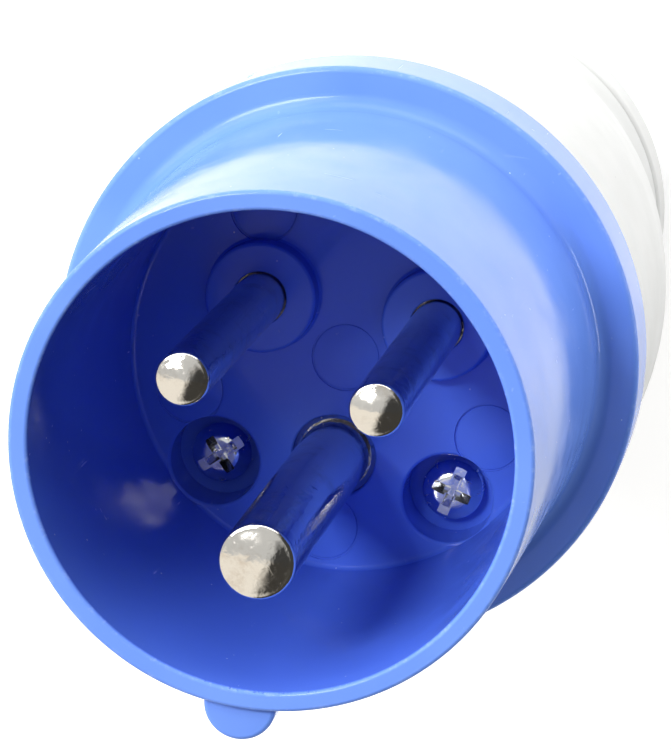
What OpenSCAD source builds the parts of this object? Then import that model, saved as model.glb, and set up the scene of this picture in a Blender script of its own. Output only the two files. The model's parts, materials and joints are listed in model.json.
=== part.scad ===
// Industrial pin and sleeve plug, three pins, with a cord gland at the foot.
// It stands on the flat end of its gland nut with its mouth up. The origin is
// the middle of that end, +Z is the plug's axis, and the earth pin is at -Y.

/* [Shroud] */
// Bore of the shroud at its mouth
mouth_d = 43.5; // [42:0.1:46]
// Depth from the rim to the floor that the pins stand on
mouth_depth = 40.8; // [36:0.2:46]
// Wall of the shroud at its rim
shroud_wall = 1.8; // [1.4:0.1:2.4]
// How much wider the shroud's outside is at its root than at its rim, on the radius
shroud_draft = 1.15; // [0.4:0.05:1.6]
// How much narrower the bore is at the floor than at its mouth, on the radius
bore_draft = 0.3; // [0:0.05:0.6]
// Rounding of the rim's two edges
rim_round = 0.4; // [0.2:0.05:0.6]

/* [Key] */
// Width of the key rib under the shroud, which has a round back
key_w = 6.6; // [5:0.2:8]
// How far the key's front end lies behind the rim
key_setback = 1; // [0.5:0.1:4]

/* [Flange] */
// Diameter of the flange between shroud and handle
flange_d = 57.4; // [56.6:0.2:62]
// Height of the flange's rim
flange_h = 8.6; // [7:0.2:11]
// Rounding of the flange's edges
flange_round = 0.6; // [0.3:0.1:1]
// Fillet between the shroud and the flange's face
root_fillet = 1.6; // [0.6:0.1:2]
// How far the floor lies below the flange's face
floor_drop = 1; // [0.4:0.1:2]
// Thickness of the floor
floor_t = 2.8; // [2.2:0.1:3.4]

/* [Pins] */
// Diameter of the circle that the three pins stand on
pin_circle_d = 20.2; // [19.6:0.1:20.6]
// Diameter of the line and neutral pins
pin_d = 5; // [4.6:0.1:5.4]
// Diameter of the earth pin
earth_d = 7; // [6.4:0.1:7.2]
// How far the line and neutral tips lie below the rim
pin_inset = 1.2; // [1:0.1:5]
// How far the earth tip lies below the rim
earth_inset = 0.2; // [0.1:0.1:3]
// How much slimmer a pin is where it passes the floor, on the radius
root_relief = 0.25; // [0.15:0.05:0.4]
// Rounding of a pin's tip
tip_round = 0.8; // [0.6:0.1:1.4]
// Rise of the tip's shallow dome
tip_dome = 0.4; // [0.2:0.05:0.8]
// Radial play of the line and neutral pins in their holes
pin_play = 0.1; // [0.05:0.05:0.2]
// Radial play of the earth pin in its hole
earth_play = 0.6; // [0.3:0.1:0.7]
// Diameter of the raised boss round the line and neutral pins
boss_d = 10.9; // [9:0.1:11.4]
// Height of those bosses above the floor
boss_h = 2.5; // [1:0.1:4]

/* [Ejector marks] */
// Diameter of the round marks in the floor
mark_d = 6.8; // [4:0.1:6.9]
// Distance from the middle to the mark under the earth pin
low_mark_reach = 17.3; // [17:0.1:17.6]
// Distance from the middle to the two marks beside it
side_mark_reach = 16; // [15.8:0.1:16.4]
// Distance from the middle to the two marks across from it
high_mark_reach = 16.6; // [16:0.1:17]
// Depth of the marks
mark_depth = 0.15; // [0.1:0.05:0.4]

/* [Housing screws] */
// Distance from the middle to each screw, across
screw_x = 11.7; // [11.5:0.1:12]
// Distance from the middle to each screw, towards the key
screw_y = 12.5; // [12.4:0.1:12.8]
// Diameter of the well that the head lies in
well_d = 8.9; // [8:0.1:9]
// Depth from the floor to the top of the head
head_drop = 2.6; // [1.5:0.1:3.5]
// Diameter of the head
head_d = 6.1; // [5.4:0.1:6.8]
// Height of the head
head_h = 2.4; // [2:0.1:3]
// Diameter of the shank
shank_d = 3.5; // [3:0.1:4]
// Length of the shank
shank_l = 24; // [16:1:30]
// Wall round the well
well_wall = 1.4; // [1:0.1:1.5]
// Wall of the pillar round the screw
pillar_wall = 2.6; // [2:0.1:2.8]

/* [Handle] */
// Length of the handle from its flange to the face above the gland nut
handle_l = 70.6; // [68:1:84]
// Diameter of the handle under the flange
handle_top_d = 55; // [54:0.2:56]
// Diameter of the handle at its fullest
handle_full_d = 56.2; // [55:0.1:56.4]
// Distance from the flange down to the fullest place
handle_full_drop = 25; // [15:1:28]
// Diameter of the waist
waist_d = 45.2; // [43:0.2:46]
// Distance from the handle's lower face up to the waist
waist_rise = 6; // [4:0.5:10]
// Diameter of the flare at the handle's lower end
flare_d = 46.4; // [45:0.2:47]
// How much steeper the handle swells just above its waist than on average
swell_power = 1.5; // [1.2:0.1:2]
// Rounding of the flare's lower edge
flare_round = 0.8; // [0.4:0.1:1.2]
// Wall of the handle
handle_wall = 2.2; // [1.8:0.1:2.6]
// Depth of the spigot that reaches into the handle
spigot_h = 5.6; // [4:0.2:7]
// Wall of that spigot
spigot_wall = 2; // [1.6:0.1:2]
// Height of the flange gasket
gasket_h = 1.2; // [0.8:0.1:1.6]
// Width of the flange gasket
gasket_w = 1.5; // [1.2:0.1:1.6]

/* [Terminals] */
// Height of the block that carries the terminals
block_h = 18.4; // [16:0.2:20]
// Wall of the block round each pin
block_wall = 2.3; // [2:0.1:2.3]
// Thickness of the walls between the terminals
barrier_t = 1.6; // [1.2:0.1:2]
// Reach of those walls from the middle
barrier_reach = 13; // [11:0.2:13.4]
// Diameter of a pin's stem inside the block
stem_d = 6.6; // [6:0.1:6.8]
// Diameter of a pin's collar
collar_d = 8.6; // [8:0.1:8.8]
// Height of a pin's collar
collar_h = 1.5; // [1.2:0.1:2]
// Diameter of the terminal barrel
barrel_d = 8.8; // [8.4:0.1:9.4]
// Length of the terminal barrel
barrel_l = 14; // [12:0.5:16]
// Bore of the barrel for the conductor
wire_bore_d = 4.4; // [4.4:0.1:4.8]
// Depth of that bore
wire_bore_l = 11; // [9:0.5:11]
// Height of the terminal screw's axis above the barrel's end
clamp_rise = 5; // [4:0.2:6]
// Diameter of the terminal screw
clamp_d = 3.5; // [3:0.1:4]
// Diameter of the terminal screw's head
clamp_head_d = 5.2; // [4.6:0.1:6]
// Height of the terminal screw's head
clamp_head_h = 1.8; // [1.4:0.1:2.2]
// Thickness of the pressure leaf
leaf_t = 0.5; // [0.4:0.05:0.6]
// Width of the pressure leaf
leaf_w = 2.3; // [2:0.1:2.4]
// Diameter of the screw that holds the block
carrier_d = 3; // [2.6:0.1:3.4]
// Diameter of that screw's head
carrier_head_d = 5.6; // [5:0.1:6]
// Height of that screw's head
carrier_head_h = 2; // [1.6:0.1:2.4]

/* [Gland] */
// Diameter of the gland nut's smooth collar
nut_d = 46.8; // [46:0.1:49]
// Height of the gland nut
nut_h = 18.6; // [17:0.2:20]
// Height of its smooth collar
collar_band_h = 8; // [7:0.2:9.6]
// Rounding of the collar's edges
nut_round = 1.1; // [0.6:0.1:1.4]
// Diameter of the nut's core between the grip ribs
nut_core_d = 40; // [39.6:0.2:42]
// How far the grip ribs stand out of the core
grip_proud = 1.4; // [1:0.1:2]
// Width of a grip rib
grip_w = 1.9; // [1.4:0.1:2.4]
// Number of grip ribs
grip_count = 24; // [16:4:28]
// Chamfer of the grip ribs at the nut's foot
grip_chamfer = 1.4; // [0.8:0.1:1.8]
// Gap between the tightened nut and the handle
nut_gap = 0.4; // [0.4:0.1:1.2]
// Thickness of the nut's end wall
nut_floor = 2.6; // [2:0.1:3.4]
// Diameter of the cord's way through the nut
cord_hole_d = 17.6; // [16:0.1:18]
// Diameter of the handle's threaded neck
neck_d = 36; // [35:0.1:36.4]
// Wall of that neck
neck_wall = 3; // [2.6:0.1:3.4]
// Radial play between the nut and the neck
neck_play = 0.3; // [0.3:0.05:0.5]
// Height of the slip ring
slip_h = 5; // [4.4:0.1:5.4]
// Radial play of the slip ring in the nut
slip_play = 0.4; // [0.3:0.1:0.8]
// Gap kept between the slip ring's cone and the cage's fingers
cone_gap = 0.4; // [0.3:0.05:0.6]
// Width of the gaps between the cage's fingers
slot_w = 1.4; // [1:0.1:1.8]
// Number of the cage's fingers
finger_count = 10; // [8:2:12]
// Wall of the cage
cage_wall = 1.8; // [1.6:0.1:2]
// Bore of the rubber grommet
grommet_bore_d = 15; // [13:0.1:15.6]
// Thickness of the shoulder above the grommet
shoulder_t = 3.4; // [2.4:0.1:4]

/* [Fits] */
// Gap between fixed pieces that slip into each other
slip_fit = 0.1; // [0.05:0.05:0.2]
// Radial clearance of the spigot in the handle
spigot_fit = 0.2; // [0.1:0.05:0.3]

/* [Hidden] */
$fn = 96;
// Overshoot of a cut past the face that it opens
cut = 1;
// Steps in a rounded edge, and along the handle's curve
round_steps = 5;
curve_steps = 9;
// Directions of the pins about the axis
neutral_a = 30;
line_a = 150;
earth_a = 270;
// Reach and direction of the outer ejector marks
outer_marks = [[low_mark_reach, 270], [side_mark_reach, 201], [side_mark_reach, 339],
    [high_mark_reach, 126], [high_mark_reach, 54]];

// Heights, from the foot up
handle_z0 = nut_h + nut_gap;
handle_z1 = handle_z0 + handle_l;
flange_z1 = handle_z1 + flange_h;
floor_z = flange_z1 - floor_drop;
under_floor_z = floor_z - floor_t;
rim_z = floor_z + mouth_depth;
boss_z = floor_z + boss_h;
block_z0 = under_floor_z - block_h;
barrel_z0 = block_z0 - barrel_l;
clamp_z = barrel_z0 + clamp_rise;
head_z = floor_z - head_drop;
seat_z = head_z - head_h;
well_z0 = handle_z1 + slip_fit;
spigot_z0 = handle_z1 - spigot_h;
gasket_z0 = handle_z1 - gasket_h;

// Radii
mouth_r = mouth_d / 2;
floor_r = mouth_r - bore_draft;
rim_r = mouth_r + shroud_wall;
root_r = rim_r + shroud_draft;
flange_r = flange_d / 2;
handle_top_r = handle_top_d / 2;
gasket_r1 = handle_top_r - 1.3;
gasket_r0 = gasket_r1 - gasket_w;
spigot_r = gasket_r0 - spigot_fit;
spigot_bore_r = spigot_r - spigot_wall;
pin_circle_r = pin_circle_d / 2;
lobe_r = stem_d / 2 + block_wall;
well_r = well_d / 2 + well_wall;
pillar_r = shank_d / 2 + pillar_wall;
screw_reach = norm([screw_x, screw_y]);
screw_a = atan2(-screw_y, screw_x);

// Gland
neck_r = neck_d / 2;
neck_bore_r = neck_r - neck_wall;
nut_bore_r = neck_r + neck_play;
slip_z0 = nut_floor + slip_fit;
slip_z1 = slip_z0 + slip_h;
slip_r = nut_bore_r - slip_play;
cage_r = neck_bore_r - slip_fit;
cage_bore_r = cage_r - cage_wall;
cone_r0 = cord_hole_d / 2 + 0.4;
cone_r1 = cage_r + cone_gap;
neck_z0 = slip_z1 + 0.6;
shoulder_z = handle_z0 + 1;
cage_z0 = slip_z0 + slip_h / 2;
finger_r = cone_r0 + (cone_r1 - cone_r0) / 2 - cone_gap;
slot_z1 = cage_z0 + 8;

function blend(a, b, t) = a + (b - a) * (1 - cos(180 * t)) / 2;
function at_pin(a) = [pin_circle_r * cos(a), pin_circle_r * sin(a)];
function arc(cx, cy, r, a0, a1) =
    [for (i = [0:round_steps])
        let (a = a0 + (a1 - a0) * i / round_steps) [cx + r * cos(a), cy + r * sin(a)]];

// A shallow cap of a ball, from its edge to its crown on the axis
function dome(r, z, rise) =
    let (ball_r = (r * r + rise * rise) / (2 * rise), a0 = asin(r / ball_r))
    [for (i = [0:round_steps]) let (a = a0 * (1 - i / round_steps))
        [ball_r * sin(a), z + rise - ball_r * (1 - cos(a))]];

// The handle's outer radius at a height: a full upper part, a waist and a flare
full_z = handle_z1 - handle_full_drop;
waist_z = handle_z0 + waist_rise;
function handle_r(z) =
    z > full_z ? blend(handle_full_d, handle_top_d, (z - full_z) / handle_full_drop) / 2
    : z > waist_z ? handle_full_d / 2
        - (handle_full_d - waist_d) / 2 * pow((full_z - z) / (full_z - waist_z), swell_power)
    : blend(waist_d, flare_d, (waist_z - z) / waist_rise) / 2;
function steps(z0, z1, n) = [for (i = [0:n]) z0 + (z1 - z0) * i / n];
handle_zs = concat(steps(handle_z0 + flare_round, waist_z, 4),
    [for (z = steps(waist_z, full_z, 2 * curve_steps)) if (z > waist_z) z],
    [for (z = steps(full_z, handle_z1, 4)) if (z > full_z) z]);

module ring(r1, r0, z0, z1) {
    translate([0, 0, z0]) difference() {
        cylinder(r = r1, h = z1 - z0);
        translate([0, 0, -cut]) cylinder(r = r0, h = z1 - z0 + 2 * cut);
    }
}

module drill(r, z0, z1) {
    translate([0, 0, z0]) cylinder(r = r, h = z1 - z0);
}

module at_screws() {
    for (side = [-1, 1]) translate([side * screw_x, -screw_y, 0]) children();
}

// Blue moulding: shroud, key, flange, floor, bosses, wells and spigot in one piece
module front_shell() {
    rotate_extrude() polygon(concat(
        arc(mouth_r + rim_round, rim_z - rim_round, rim_round, 180, 90),
        arc(rim_r - rim_round, rim_z - rim_round, rim_round, 90, 0),
        arc(root_r + root_fillet, flange_z1 + root_fillet, root_fillet, 180, 270),
        arc(flange_r - flange_round, flange_z1 - flange_round, flange_round, 90, 0),
        arc(flange_r - flange_round, handle_z1 + flange_round, flange_round, 0, -90),
        [[spigot_r, handle_z1], [spigot_r, spigot_z0], [spigot_bore_r, spigot_z0],
         [spigot_bore_r, under_floor_z], [0, under_floor_z], [0, floor_z], [floor_r, floor_z]]));
}

module key_rib() {
    translate([0, -rim_r, flange_z1 - cut])
        cylinder(d = key_w, h = rim_z - key_setback - flange_z1 + cut);
}

module ejector_marks() {
    drill(mark_d / 2, floor_z - mark_depth, floor_z + cut);
    for (mark = outer_marks) rotate(mark[1]) translate([mark[0], 0, 0])
        drill(mark_d / 2, floor_z - mark_depth, floor_z + cut);
}

module front_housing() {
    color("royalblue") difference() {
        union() {
            front_shell();
            difference() {
                key_rib();
                drill(mouth_r + shroud_wall / 2, floor_z, rim_z + cut);
            }
            for (a = [line_a, neutral_a]) translate(at_pin(a))
                drill(boss_d / 2, under_floor_z + cut, boss_z);
            at_screws() drill(well_r, well_z0, floor_z - floor_t / 2);
            drill(carrier_d / 2 + 1.8, under_floor_z - 4, under_floor_z + cut);
        }
        for (a = [line_a, neutral_a]) translate(at_pin(a))
            drill(pin_d / 2 + pin_play, under_floor_z - cut, boss_z + cut);
        translate(at_pin(earth_a))
            drill(earth_d / 2 + earth_play, under_floor_z - cut, floor_z + cut);
        at_screws() drill(well_d / 2, seat_z, floor_z + cut);
        at_screws() drill(shank_d / 2 + slip_fit, well_z0 - cut, seat_z + cut);
        drill(carrier_d / 2 + slip_fit, under_floor_z - 4 - cut, under_floor_z + 0.8);
        ejector_marks();
    }
}

// Grey shell: full upper part, waist, flare and threaded neck, with two screw pillars
module handle_outside() {
    rotate_extrude() polygon(concat(
        [[0, neck_z0], [neck_r, neck_z0], [neck_r, handle_z0]],
        arc(flare_d / 2 - flare_round, handle_z0 + flare_round, flare_round, -90, 0),
        [for (z = handle_zs) if (z > handle_z0 + flare_round) [handle_r(z), z]],
        [[0, handle_z1]]));
}

module handle_inside() {
    inner_z0 = shoulder_z + shoulder_t;
    rotate_extrude() polygon(concat(
        [[0, inner_z0], [handle_r(inner_z0) - handle_wall, inner_z0]],
        [for (z = handle_zs) if (z > inner_z0 && z < full_z + cut) [handle_r(z) - handle_wall, z]],
        [[gasket_r0, spigot_z0 - cut], [gasket_r0, handle_z1 + cut], [0, handle_z1 + cut]]));
}

module screw_pillars() {
    pillar_z0 = shoulder_z + shoulder_t;
    intersection() {
        union() {
            at_screws() drill(pillar_r, pillar_z0, handle_z1);
            for (a = [screw_a, 180 - screw_a]) rotate(a)
                translate([screw_reach, -pillar_wall / 2, pillar_z0])
                    cube([flange_r, pillar_wall, spigot_z0 - 1 - pillar_z0]);
        }
        handle_outside();
    }
}

module handle() {
    color("gainsboro") difference() {
        union() {
            difference() {
                handle_outside();
                handle_inside();
            }
            screw_pillars();
        }
        ring(gasket_r1, gasket_r0 - cut, gasket_z0, handle_z1 + cut);
        drill(neck_bore_r, neck_z0 - cut, shoulder_z);
        drill(cord_hole_d / 2, shoulder_z - cut, shoulder_z + shoulder_t + cut);
        at_screws() drill(shank_d / 2 + slip_fit / 2, seat_z - shank_l - 2, handle_z1 + cut);
    }
}

module flange_gasket() {
    color("dimgray") ring(gasket_r1 - slip_fit, gasket_r0 + slip_fit / 2, gasket_z0, handle_z1);
}

// Insulating block behind the floor, with a lobe for each pin and walls between them
module terminal_block() {
    color("darkslategray") difference() {
        union() {
            for (a = [line_a, neutral_a, earth_a]) {
                translate(at_pin(a)) drill(lobe_r, block_z0, under_floor_z);
                rotate(a + 180) translate([0, -barrier_t / 2, barrel_z0 + barrel_l / 2])
                    cube([barrier_reach, barrier_t, barrel_l / 2 + block_h - 5]);
            }
            drill(lobe_r, block_z0, under_floor_z);
        }
        for (a = [line_a, neutral_a, earth_a]) translate(at_pin(a)) {
            drill(stem_d / 2 + slip_fit, block_z0 - cut, under_floor_z + cut);
            drill(collar_d / 2 + slip_fit, under_floor_z - collar_h - slip_fit, under_floor_z + cut);
        }
        drill(carrier_d / 2 + slip_fit, block_z0 - barrel_l, under_floor_z + cut);
        drill(carrier_d / 2 + 1.8 + slip_fit, under_floor_z - 4 - slip_fit, under_floor_z + cut);
        drill(carrier_head_d / 2 + slip_fit, block_z0 - barrel_l, block_z0 + carrier_head_h + 1);
    }
}

// Turned pin: rounded tip, shaft, collar, stem, and a barrel bored for the conductor
module contact_pin(a, d, inset, root_z) {
    tip_z = rim_z - inset;
    edge_r = d / 2 - tip_round;
    collar_z = under_floor_z - collar_h;
    translate(at_pin(a)) rotate(a) difference() {
        rotate_extrude() polygon(concat(
            [[0, barrel_z0], [barrel_d / 2, barrel_z0], [barrel_d / 2, block_z0],
             [stem_d / 2, block_z0], [stem_d / 2, collar_z], [collar_d / 2, collar_z],
             [collar_d / 2, under_floor_z], [d / 2 - root_relief, under_floor_z],
             [d / 2 - root_relief, root_z], [d / 2, root_z]],
            arc(edge_r, tip_z - tip_dome - tip_round, tip_round, 0, 70),
            dome(edge_r, tip_z - tip_dome, tip_dome)));
        drill(wire_bore_d / 2, barrel_z0 - cut, barrel_z0 + wire_bore_l);
        translate([0, 0, clamp_z]) rotate([0, 90, 0])
            cylinder(d = clamp_d + 2 * slip_fit, h = barrel_d);
    }
}

module line_pin() {
    color("silver") contact_pin(line_a, pin_d, pin_inset, boss_z);
}

module neutral_pin() {
    color("silver") contact_pin(neutral_a, pin_d, pin_inset, boss_z);
}

module earth_pin() {
    color("silver") contact_pin(earth_a, earth_d, earth_inset, floor_z);
}

// The leaf lies against the bore's outer side, under the clamp screw's end
leaf_x = sqrt(pow(wire_bore_d / 2, 2) - pow(leaf_w / 2, 2)) - slip_fit / 2;

module clamp_screw(a) {
    head_x = barrel_d / 2 + slip_fit;
    translate(at_pin(a)) rotate(a) translate([0, 0, clamp_z]) rotate([0, 90, 0]) difference() {
        union() {
            translate([0, 0, leaf_x]) cylinder(d = clamp_d, h = head_x - leaf_x + slip_fit);
            translate([0, 0, head_x]) cylinder(d = clamp_head_d, h = clamp_head_h);
        }
        translate([-clamp_head_d, -0.4, head_x + clamp_head_h - 0.9])
            cube([2 * clamp_head_d, 0.8, 0.9 + cut]);
    }
}

module line_terminal_screw() {
    color("lightgray") clamp_screw(line_a);
}

module neutral_terminal_screw() {
    color("lightgray") clamp_screw(neutral_a);
}

module earth_terminal_screw() {
    color("lightgray") clamp_screw(earth_a);
}

module wire_plate(a) {
    translate(at_pin(a)) rotate(a) {
        translate([leaf_x - leaf_t, -leaf_w / 2, barrel_z0 - leaf_t])
            cube([leaf_t, leaf_w, clamp_rise + clamp_d / 2 + 1.5 + leaf_t]);
        translate([leaf_x - leaf_t, -leaf_w / 2, barrel_z0 - leaf_t])
            cube([barrel_d / 2 - leaf_x, leaf_w, leaf_t]);
    }
}

module line_wire_plate() {
    color("goldenrod") wire_plate(line_a);
}

module neutral_wire_plate() {
    color("goldenrod") wire_plate(neutral_a);
}

module earth_wire_plate() {
    color("goldenrod") wire_plate(earth_a);
}

module carrier_screw() {
    head_z0 = block_z0 + 1;
    color("lightgray") difference() {
        union() {
            drill(carrier_head_d / 2, head_z0, head_z0 + carrier_head_h);
            drill(carrier_d / 2, head_z0 + carrier_head_h - cut, under_floor_z);
        }
        for (t = [0, 90]) rotate(t) translate([-carrier_head_d / 3, -0.4, head_z0 - cut])
            cube([carrier_head_d * 2 / 3, 0.8, 0.9 + cut]);
    }
}

// Pan-head screw with a cross and a slot, in its well below the floor
module housing_screw() {
    dome_r = head_h * 0.55;
    difference() {
        rotate_extrude() polygon(concat(
            [[0, seat_z - shank_l], [shank_d / 4, seat_z - shank_l],
             [shank_d / 2, seat_z - shank_l + 1.5], [shank_d / 2, seat_z], [head_d / 2, seat_z]],
            arc(head_d / 2 - dome_r, head_z - dome_r, dome_r, 0, 90),
            [[0, head_z]]));
        translate([-head_d / 2 - cut, -0.45, head_z - 1]) cube([head_d + 2 * cut, 0.9, 1 + cut]);
        translate([-0.5, -head_d / 3, head_z - 1.5]) cube([1, head_d * 2 / 3, 1.5 + cut]);
    }
}

module housing_screw_left() {
    color("silver") translate([-screw_x, -screw_y, 0]) rotate(25) housing_screw();
}

module housing_screw_right() {
    color("silver") translate([screw_x, -screw_y, 0]) rotate(50) housing_screw();
}

// Gland nut: smooth collar above, ribbed grip below, flat foot with the cord's way
module gland_nut() {
    collar_z = nut_h - collar_band_h;
    rib_r = nut_core_d / 2 + grip_proud;
    color("gainsboro") difference() {
        union() {
            rotate_extrude() polygon(concat(
                [[0, 0], [nut_core_d / 2 - grip_chamfer, 0], [nut_core_d / 2, grip_chamfer]],
                [[nut_core_d / 2, collar_z - grip_proud]],
                arc(nut_d / 2 - nut_round, collar_z + nut_round, nut_round, -45, 0),
                arc(nut_d / 2 - nut_round, nut_h - nut_round, nut_round, 0, 90),
                [[0, nut_h]]));
            intersection() {
                for (i = [0:grip_count - 1]) rotate(i * 360 / grip_count)
                    translate([neck_r, -grip_w / 2, 0]) cube([nut_d / 2, grip_w, collar_z + 1]);
                rotate_extrude() polygon([[0, 0], [rib_r - grip_chamfer, 0],
                    [rib_r, grip_chamfer], [rib_r, collar_z + 1], [0, collar_z + 1]]);
            }
        }
        drill(cord_hole_d / 2, -cut, nut_floor + cut);
        drill(nut_bore_r, nut_floor, nut_h + cut);
    }
}

// Ring with a cone inside, which the nut pushes up against the cage's fingers
module slip_ring() {
    color("white") rotate_extrude() polygon([[cone_r0, slip_z0], [slip_r, slip_z0],
        [slip_r, slip_z1], [cone_r1, slip_z1]]);
}

// Cage in the neck, with fingers that reach down into the slip ring's cone
module clamp_cage() {
    cage_z1 = shoulder_z;
    color("ivory") difference() {
        rotate_extrude() polygon([[finger_r - cage_wall, cage_z0], [finger_r, cage_z0],
            [cage_r, slip_z1], [cage_r, cage_z1], [cage_bore_r, cage_z1],
            [cage_bore_r, slip_z1 + cage_wall]]);
        for (i = [0:finger_count / 2 - 1]) rotate(i * 360 / finger_count)
            translate([-neck_r, -slot_w / 2, cage_z0 - cut])
                cube([2 * neck_r, slot_w, slot_z1 - cage_z0 + cut]);
    }
}

module gland_grommet() {
    z0 = slip_z1 + cage_wall + 1;
    color("dimgray") ring(cage_bore_r - slip_fit, grommet_bore_d / 2, z0, shoulder_z);
}

front_housing();
handle();
flange_gasket();
terminal_block();
line_pin();
neutral_pin();
earth_pin();
line_terminal_screw();
neutral_terminal_screw();
earth_terminal_screw();
line_wire_plate();
neutral_wire_plate();
earth_wire_plate();
carrier_screw();
housing_screw_left();
housing_screw_right();
gland_nut();
slip_ring();
clamp_cage();
gland_grommet();
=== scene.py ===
"""Industrial pin and sleeve plug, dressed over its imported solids: fine surfaces, finishes, studio and camera."""

import json
import logging
from dataclasses import dataclass
from enum import Enum
from math import cos, pi, radians, sin

import bmesh
import bpy
import numpy as np
from mathutils import Matrix, Vector


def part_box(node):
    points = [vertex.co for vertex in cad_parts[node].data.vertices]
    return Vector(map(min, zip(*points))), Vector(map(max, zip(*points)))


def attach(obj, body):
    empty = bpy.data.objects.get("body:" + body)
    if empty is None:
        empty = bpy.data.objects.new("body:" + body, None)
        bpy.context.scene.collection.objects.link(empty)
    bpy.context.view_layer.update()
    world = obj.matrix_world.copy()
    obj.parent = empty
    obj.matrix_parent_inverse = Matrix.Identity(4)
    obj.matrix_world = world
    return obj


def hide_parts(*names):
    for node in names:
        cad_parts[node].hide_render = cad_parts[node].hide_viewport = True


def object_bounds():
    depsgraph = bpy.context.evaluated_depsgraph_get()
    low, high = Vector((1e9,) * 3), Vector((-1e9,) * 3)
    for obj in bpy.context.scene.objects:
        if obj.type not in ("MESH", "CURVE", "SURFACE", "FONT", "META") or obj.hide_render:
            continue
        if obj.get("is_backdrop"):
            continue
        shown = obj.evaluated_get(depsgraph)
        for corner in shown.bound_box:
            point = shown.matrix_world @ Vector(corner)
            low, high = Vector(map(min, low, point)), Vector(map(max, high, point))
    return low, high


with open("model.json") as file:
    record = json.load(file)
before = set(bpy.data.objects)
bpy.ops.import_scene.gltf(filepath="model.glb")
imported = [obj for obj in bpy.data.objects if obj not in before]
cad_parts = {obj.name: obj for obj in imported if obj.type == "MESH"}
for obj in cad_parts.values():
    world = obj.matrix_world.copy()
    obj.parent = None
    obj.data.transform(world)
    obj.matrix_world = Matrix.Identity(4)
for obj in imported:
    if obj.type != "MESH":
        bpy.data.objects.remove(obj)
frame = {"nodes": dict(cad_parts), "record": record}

MM = 0.001
SEGMENTS = 256
log = logging.getLogger("plug")
Socket = bpy.types.NodeSocket
Colour = tuple[float, float, float]


class Slot(Enum):
    """The record's material slots."""

    BLUE = "blue_moulding"
    GREY = "grey_moulding"
    PLATING = "pin_plating"
    ZINC = "zinc_screw"
    BLOCK = "terminal_moulding"
    CLAMP = "clamp_moulding"
    RUBBER = "seal_rubber"
    BRASS = "leaf_brass"


class Cut(Enum):
    """How a closed shell is worked into another."""

    JOIN = "UNION"
    TAKE = "DIFFERENCE"


# ---------------------------------------------------------------- surfaces


@dataclass
class Shell:
    """Points in millimetres, and faces as rows of point numbers."""

    points: np.ndarray
    faces: np.ndarray

    def moved(self, x: float, y: float, z: float = 0.0) -> "Shell":
        """The same shell, shifted by (x, y, z) millimetres."""
        return Shell(self.points + np.array([x, y, z]), self.faces)

    def turned(self, degrees: float) -> "Shell":
        """The same shell, turned about the upright axis through the origin."""
        c, s = cos(radians(degrees)), sin(radians(degrees))
        return Shell(self.points @ np.array([[c, s, 0], [-s, c, 0], [0, 0, 1]]), self.faces)


def grid_faces(rows: int, columns: int, wrap_rows: bool, wrap_columns: bool) -> np.ndarray:
    """Quads of a grid whose point (i, j) has the number i * columns + j.

    Args:
        rows: Number of rows of points.
        columns: Number of points in a row.
        wrap_rows: Whether the last row joins the first.
        wrap_columns: Whether a row's last point joins its first.

    Returns:
        One quad a row, wound so that a profile that climbs faces away from the axis.
    """
    i = np.arange(rows if wrap_rows else rows - 1)[:, None]
    j = np.arange(columns if wrap_columns else columns - 1)[None, :]
    i1, j1 = (i + 1) % rows, (j + 1) % columns
    corners = (i * columns + j, i * columns + j1, i1 * columns + j1, i1 * columns + j)
    return np.stack(np.broadcast_arrays(*corners), axis=-1).reshape(-1, 4)


def turn(profile: np.ndarray, segments: int = SEGMENTS, closed: bool = False,
         swell: np.ndarray | None = None) -> Shell:
    """Surface of revolution about the upright axis.

    Profile point (r_i, z_i) at the angle t_j = 2 pi j / n becomes
    ((r_i + s_ij) cos t_j, (r_i + s_ij) sin t_j, z_i).

    Args:
        profile: Radii and heights, one row a point.
        segments: Number of steps n round the axis.
        closed: Whether the profile is a closed loop.
        swell: What is added to each radius, one row a profile point, or None.

    Returns:
        The surface as a shell of quads.
    """
    t = 2 * pi * np.arange(segments) / segments
    r = profile[:, :1] + (0.0 if swell is None else swell)
    r = np.broadcast_to(r, (len(profile), segments))
    z = np.broadcast_to(profile[:, 1:], r.shape)
    points = np.stack([r * np.cos(t), r * np.sin(t), z], axis=-1).reshape(-1, 3)
    return Shell(points, grid_faces(len(profile), segments, closed, True))


def rounded(corners: list[tuple[float, float, float]], step: float = 11.0,
            closed: bool = False) -> np.ndarray:
    """Profile through corners, each replaced by an arc that touches both its edges.

    With u and v the unit vectors to the neighbours and 2 a the angle between them, the arc
    of radius q has its centre at p + q / sin(a) along u + v, and starts and ends q / tan(a)
    from the corner.

    Args:
        corners: (r, z, q) of each corner, q being 0 for a sharp one.
        step: Degrees between the arc's points at most.
        closed: Whether the profile is a loop, so that its ends are corners too.

    Returns:
        The profile's points as rows (r, z).
    """
    p = np.array([c[:2] for c in corners], float)
    parts = []
    for k, (r, z, q) in enumerate(corners):
        if q <= 0 or (not closed and k in (0, len(corners) - 1)):
            parts.append(p[k:k + 1])
            continue
        u, v = p[k - 1] - p[k], p[(k + 1) % len(p)] - p[k]
        u, v = u / np.linalg.norm(u), v / np.linalg.norm(v)
        half = np.arccos(np.clip(u @ v, -1, 1)) / 2
        centre = p[k] + (u + v) / np.linalg.norm(u + v) * q / np.sin(half)
        first, last = p[k] + u * q / np.tan(half) - centre, p[k] + v * q / np.tan(half) - centre
        a0, a1 = np.arctan2(first[1], first[0]), np.arctan2(last[1], last[0])
        sweep = (a1 - a0 + pi) % (2 * pi) - pi
        count = max(2, int(np.ceil(abs(np.degrees(sweep)) / step)) + 1)
        a = a0 + sweep * np.linspace(0, 1, count)
        parts.append(centre + q * np.stack([np.cos(a), np.sin(a)], axis=-1))
    return np.concatenate(parts)


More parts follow.
